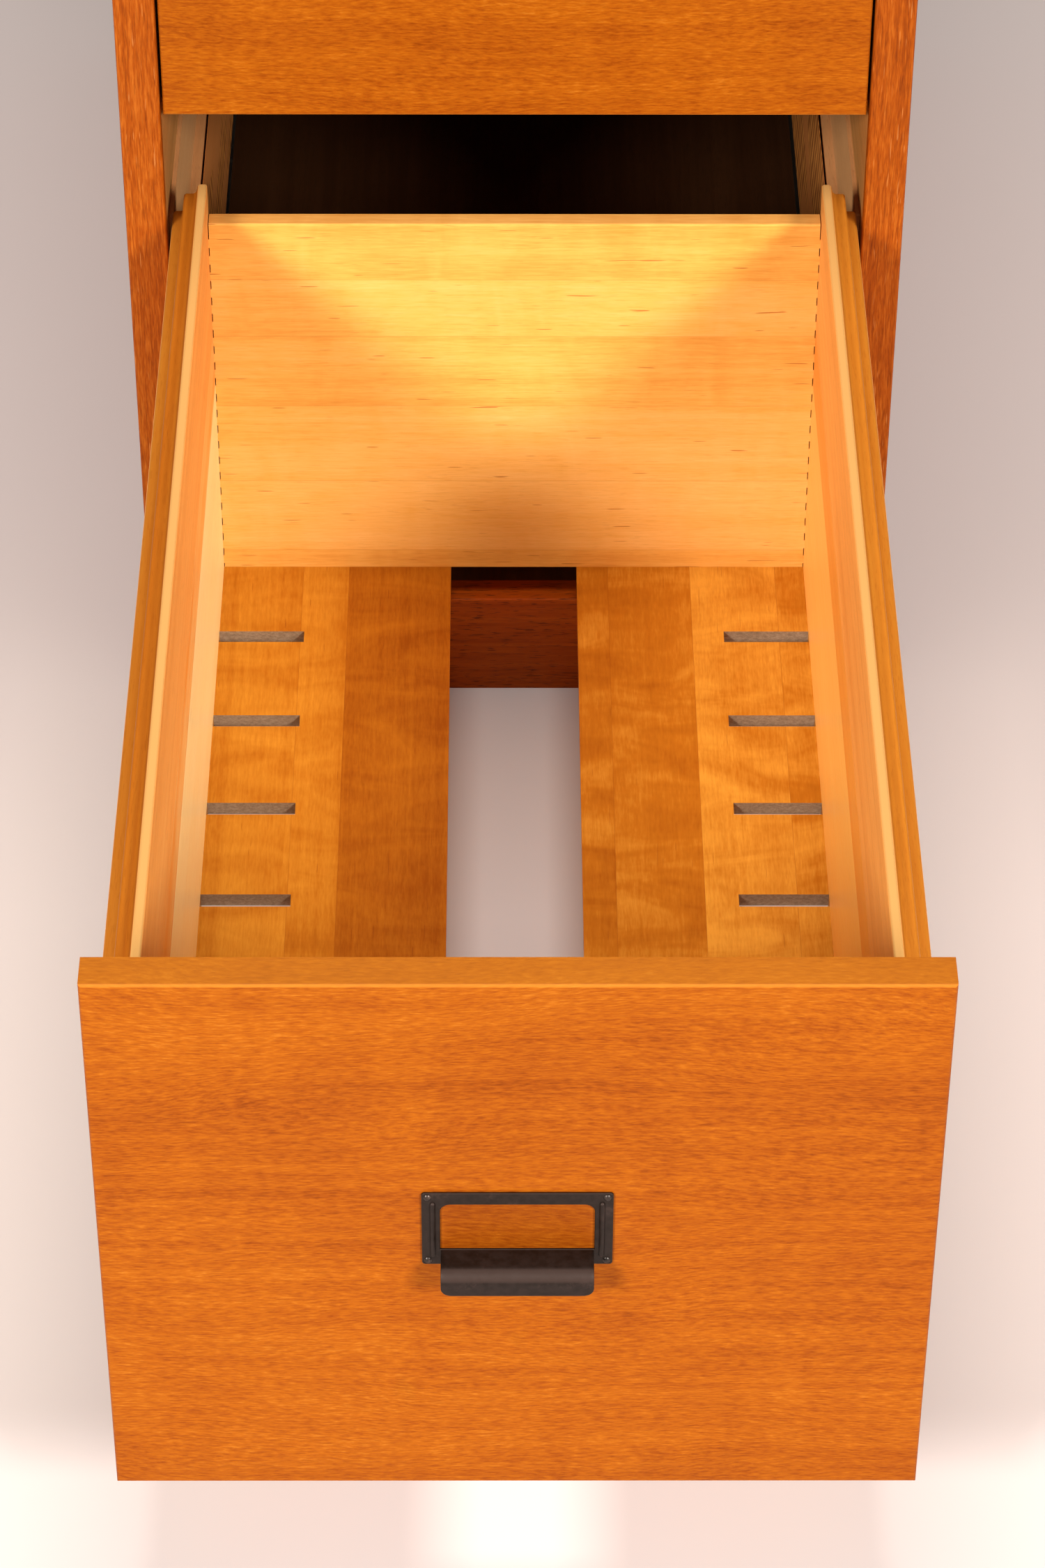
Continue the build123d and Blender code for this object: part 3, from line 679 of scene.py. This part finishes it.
def lathe(profile, steps=24):
    """Mesh turned about the Y axis from (radius, y) points."""
    mesh = bmesh.new()
    points = [mesh.verts.new((radius, y, 0)) for radius, y in profile]
    for a, b in zip(points, points[1:]):
        mesh.edges.new((a, b))
    bmesh.ops.spin(mesh, geom=mesh.verts[:] + mesh.edges[:], cent=(0, 0, 0), axis=(0, 1, 0),
                   angle=2 * math.pi, steps=steps)
    bmesh.ops.remove_doubles(mesh, verts=mesh.verts, dist=1e-6)
    bmesh.ops.recalc_face_normals(mesh, faces=mesh.faces)
    made = bpy.data.meshes.new("turned")
    mesh.to_mesh(made)
    mesh.free()
    return made


def merged(name, placed, slot, body):
    """One piece from (mesh, place) pairs, smooth except at sharp edges."""
    whole = bmesh.new()
    for mesh, place in placed:
        copy = mesh.copy()
        copy.transform(Matrix.Translation(place))
        whole.from_mesh(copy)
        bpy.data.meshes.remove(copy)
    made = bpy.data.meshes.new(name)
    whole.to_mesh(made)
    whole.free()
    for polygon in made.polygons:
        polygon.use_smooth = True
    made.set_sharp_from_angle(angle=math.radians(35))
    made.materials.append(METALS[slot])
    piece = mesh_object(name, made)
    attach(piece, body)
    return piece


# ---- formed pulls and their nails

NAIL_INSET = 2.7 * MM          # from the frame's edges to a nail's middle
NAIL_HEAD = 1.8 * MM           # radius
NAIL_SHANK = 1.4 * MM
NAIL_DOME = 0.95 * MM
NAIL_TAPER = 2.0 * MM          # length of the point


def formed_pull(drawer):
    """The label frame with its bent lip and beads, in place of the CAD pull."""
    low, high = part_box(f"{drawer}_pull")
    face, top, half = high.y, high.z, high.x
    frame_low = top - FRAME_HEIGHT
    lip_top = top - LIP_DROP
    outer = rounded_outline(-half, frame_low, half, top, FRAME_CORNER, FRAME_CORNER)
    window = rounded_outline(-WINDOW_HALF, lip_top, WINDOW_HALF, top - WINDOW_DROP,
                             WINDOW_CORNER, WINDOW_LOW_CORNER)
    flat = plate([outer, window], SHEET, SHEET_EDGE)
    lip = lip_mesh(LIP_HALF, face - SHEET - low.y, lip_top, low.z, LIP_BEND, LIP_CORNER, SHEET)
    beads = [bead_mesh(side * BEAD_X, frame_low + BEAD_INSET, top - BEAD_INSET, BEAD_RADIUS)
             for side in SIDES.values()]
    placed = [(flat, (0, face, 0))]
    placed += [(mesh, (0, face - SHEET, 0)) for mesh in [lip, *beads]]
    piece = merged(f"{drawer}_pull_formed", placed, "pull_metal", f"{drawer}_drawer")
    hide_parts(f"{drawer}_pull")


def domed_nails(drawer):
    """Four domed nails at the corners of the frame, in place of the CAD pins."""
    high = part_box(f"{drawer}_pull")[1]
    face = high.y - SHEET
    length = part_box(f"{drawer}_pull_pins")[1].y - face
    nail = lathe([
        (0.0, -NAIL_DOME), (0.9 * MM, -0.88 * MM), (1.4 * MM, -0.6 * MM), (NAIL_HEAD, -0.15 * MM),
        (NAIL_HEAD, 0.0), (NAIL_SHANK, 0.0), (NAIL_SHANK, length - NAIL_TAPER), (0.0, length),
    ])
    across = high.x - NAIL_INSET
    heights = (high.z - NAIL_INSET, high.z - FRAME_HEIGHT + NAIL_INSET)
    placed = [(nail, (side * across, face, z)) for side in SIDES.values() for z in heights]
    piece = merged(f"{drawer}_pull_nails", placed, "pin_metal", f"{drawer}_drawer")
    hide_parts(f"{drawer}_pull_pins")


for drawer in DRAWERS:
    formed_pull(drawer)
    domed_nails(drawer)


# ---- screws that hold the back panel

SCREW_HEAD = 3.9 * MM          # radius
SCREW_SHANK = 1.7 * MM
SCREW_INSET = 9.0 * MM         # from the panel's sides
SCREW_END_INSET = 40.0 * MM    # from the panel's top and bottom
SCREW_ROWS = 5
SCREW_PROUD = 0.05 * MM


def back_screws():
    """Countersunk screws with dished heads, in a column at each side of the back panel."""
    low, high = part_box("back_panel")
    head = lathe([
        (0.0, -0.3 * MM), (1.0 * MM, -0.3 * MM), (3.6 * MM, -0.1 * MM), (SCREW_HEAD, 0.15 * MM),
        (SCREW_SHANK, 2.4 * MM), (SCREW_SHANK, 5.0 * MM), (0.0, 6.0 * MM),
    ], 20)
    head.transform(Matrix.Scale(-1, 4, (0, 1, 0)))
    head.flip_normals()
    columns = [low.x + SCREW_INSET, high.x - SCREW_INSET]
    spacing = (high.z - low.z - 2 * SCREW_END_INSET) / (SCREW_ROWS - 1)
    rows = [low.z + SCREW_END_INSET + index * spacing for index in range(SCREW_ROWS)]
    placed = [(head, (x, high.y + SCREW_PROUD, z)) for x in columns for z in rows]
    merged("back_panel_screws", placed, "screw_steel", "carcass")


back_screws()


# ---- floor, light and camera

FLOOR_HALF = 6.0
KEY_LIGHT = {"place": (2.3, -3.5, 2.5), "target": (0, -0.3, 0.2), "size": 0.95, "power": 228.0}
TOP_LIGHT = {"place": (0, -0.1, 2.7), "target": (0, -0.3, 0), "size": 1.2, "power": 50.0}
LIGHT_TINT = (1.0, 0.98, 0.95)
SURROUND_TINT = (1.0, 0.96, 0.92)
SURROUND = 0.14

CAMERA_PLACE = (-7.3 * MM, -2152.6 * MM, 1771.9 * MM)
CAMERA_PITCH, CAMERA_YAW, CAMERA_ROLL = 40.75, 0.344, 0.235    # degrees: down, right, anticlockwise
FOCAL_LENGTH = 107.66          # mm, as is the sensor
SENSOR_WIDTH = 36.0


def floor():
    """Plain pale ground under the cabinet."""
    graph = Graph("pale_floor")
    cloud = graph.noise(graph.place, (1.3, 1.3, 1.3), 4.0, 0.6)
    tones = [(0.60, 0.52, 0.495), (0.64, 0.56, 0.535)]
    graph.surface(graph.ramp(cloud, *tones), roughness=0.6, height=cloud, bump=0.02)
    mesh = bpy.data.meshes.new("floor")
    corners = [(x * FLOOR_HALF, y * FLOOR_HALF, 0) for x, y in ((-1, -1), (1, -1), (1, 1), (-1, 1))]
    mesh.from_pydata(corners, [], [(0, 1, 2, 3)])
    mesh.materials.append(graph.material)
    mesh_object("floor", mesh)


def soft_box(name, place, target, size, power):
    """A square area light aimed at a point."""
    light = bpy.data.lights.new(name, "AREA")
    light.shape = "SQUARE"
    light.size = size
    light.energy = power
    light.color = LIGHT_TINT
    lamp = bpy.data.objects.new(name, light)
    bpy.context.scene.collection.objects.link(lamp)
    lamp.location = place
    lamp.rotation_mode = "QUATERNION"
    lamp.rotation_quaternion = (Vector(target) - Vector(place)).to_track_quat("-Z", "Y")


def lighting():
    """Two soft boxes in front, left and right, a larger one overhead, and a weak even surround."""
    x, y, z = KEY_LIGHT["place"]
    for name, side in SIDES.items():
        soft_box(f"soft_box_{name}", **{**KEY_LIGHT, "place": (side * x, y, z)})
    soft_box("soft_box_above", **TOP_LIGHT)
    world = bpy.data.worlds.new("studio")
    world.use_nodes = True
    surround = world.node_tree.nodes["Background"]
    surround.inputs["Color"].default_value = colour(SURROUND_TINT)
    surround.inputs["Strength"].default_value = SURROUND
    bpy.context.scene.world = world


def camera():
    """A long lens that looks about 41 degrees down into the open drawer."""
    pitch, yaw, roll = (math.radians(angle) for angle in (CAMERA_PITCH, CAMERA_YAW, CAMERA_ROLL))
    forward = Vector((math.sin(yaw) * math.cos(pitch), math.cos(yaw) * math.cos(pitch), -math.sin(pitch)))
    level = Vector((math.cos(yaw), -math.sin(yaw), 0))
    steep = level.cross(forward)
    right = level * math.cos(roll) + steep * math.sin(roll)
    up = steep * math.cos(roll) - level * math.sin(roll)
    data = bpy.data.cameras.new("camera")
    data.sensor_width = SENSOR_WIDTH
    data.lens = FOCAL_LENGTH
    data.clip_end = 50.0
    eye = bpy.data.objects.new("camera", data)
    bpy.context.scene.collection.objects.link(eye)
    turn = Matrix((right, up, -forward)).transposed().to_4x4()
    eye.matrix_world = Matrix.Translation(CAMERA_PLACE) @ turn
    bpy.context.scene.camera = eye
    bpy.context.scene.view_settings.view_transform = "Standard"


floor()
lighting()
camera()
